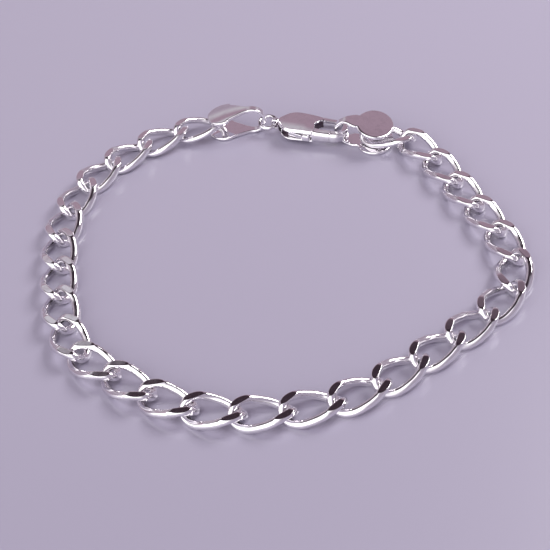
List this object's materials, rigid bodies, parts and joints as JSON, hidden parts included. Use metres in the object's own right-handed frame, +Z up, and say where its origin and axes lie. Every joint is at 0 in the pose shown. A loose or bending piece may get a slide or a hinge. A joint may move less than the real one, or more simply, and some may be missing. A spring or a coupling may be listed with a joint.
{
  "type": "link bracelet",
  "caption": "Closed bracelet of interlocked twisted curb links, with folded end tabs, a jump ring and a lobster clasp whose lever opens.",
  "frame": {"origin": "centre of the bracelet's bounding box, at the surface it lies on", "axes": "+Z up, out of the surface it lies on; +Y from the front of the loop towards the clasp; +X to the right as seen from the front"},
  "size_m": [0.0645, 0.0633, 0.004],
  "materials": {
    "silver": "polished"
  },
  "bodies": {
    "bracelet": {"link_01": "silver", "link_02": "silver", "link_03": "silver", "link_04": "silver", "link_05": "silver", "link_06": "silver", "link_07": "silver", "link_08": "silver", "link_09": "silver", "link_10": "silver", "link_11": "silver", "link_12": "silver", "link_13": "silver", "link_14": "silver", "link_15": "silver", "link_16": "silver", "link_17": "silver", "link_18": "silver", "link_19": "silver", "link_20": "silver", "link_21": "silver", "link_22": "silver", "link_23": "silver", "link_24": "silver", "link_25": "silver", "link_26": "silver", "link_27": "silver", "link_28": "silver", "left_tab": "silver", "jump_ring": "silver", "clasp_body": "silver", "right_tab": "silver"},
    "lever": {"clasp_lever": "silver"}
  },
  "joints": [
    {"name": "lever_hinge", "type": "hinge", "parent": "bracelet", "child": "lever", "pos_m": [0.00367, 0.02546, 0.00148], "axis": [0, 0, 1], "range_deg": [0, 13], "stiffness_Nm_per_rad": 0.004, "springref_deg": -20.05}
  ]
}
